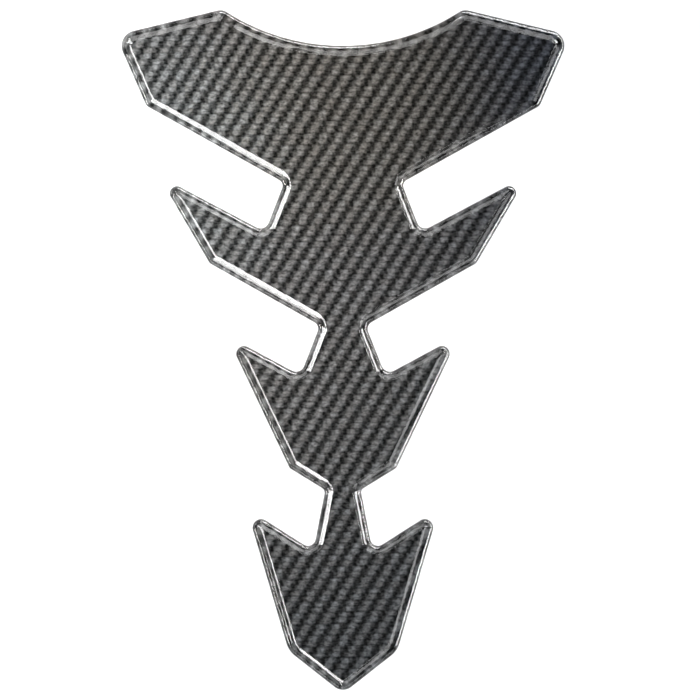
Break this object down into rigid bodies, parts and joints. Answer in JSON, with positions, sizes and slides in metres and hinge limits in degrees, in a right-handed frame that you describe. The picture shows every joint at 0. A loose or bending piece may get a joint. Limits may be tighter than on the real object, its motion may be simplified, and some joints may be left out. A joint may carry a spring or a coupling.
{
  "type": "motorcycle tank pad",
  "caption": "Self-adhesive fishbone-shaped tank pad, a carbon-look printed film under a clear domed resin coat with a raised bead along its edge.",
  "frame": {"origin": "middle of the outline's box, on the adhesive back", "axes": "+X to the right across the pad, +Y from the pointed tail to the concave top edge, +Z out of the tank towards the rider"},
  "size_m": [0.1434, 0.22, 0.0022],
  "materials": {
    "printed_film": "vinyl film printed with a black and grey twill weave, pressure-sensitive adhesive on its back",
    "clear_resin": "clear flexible polyurethane, poured and self-levelled, high gloss"
  },
  "bodies": {
    "root": {"printed_film": "printed_film", "resin_dome": "clear_resin"}
  },
  "joints": []
}
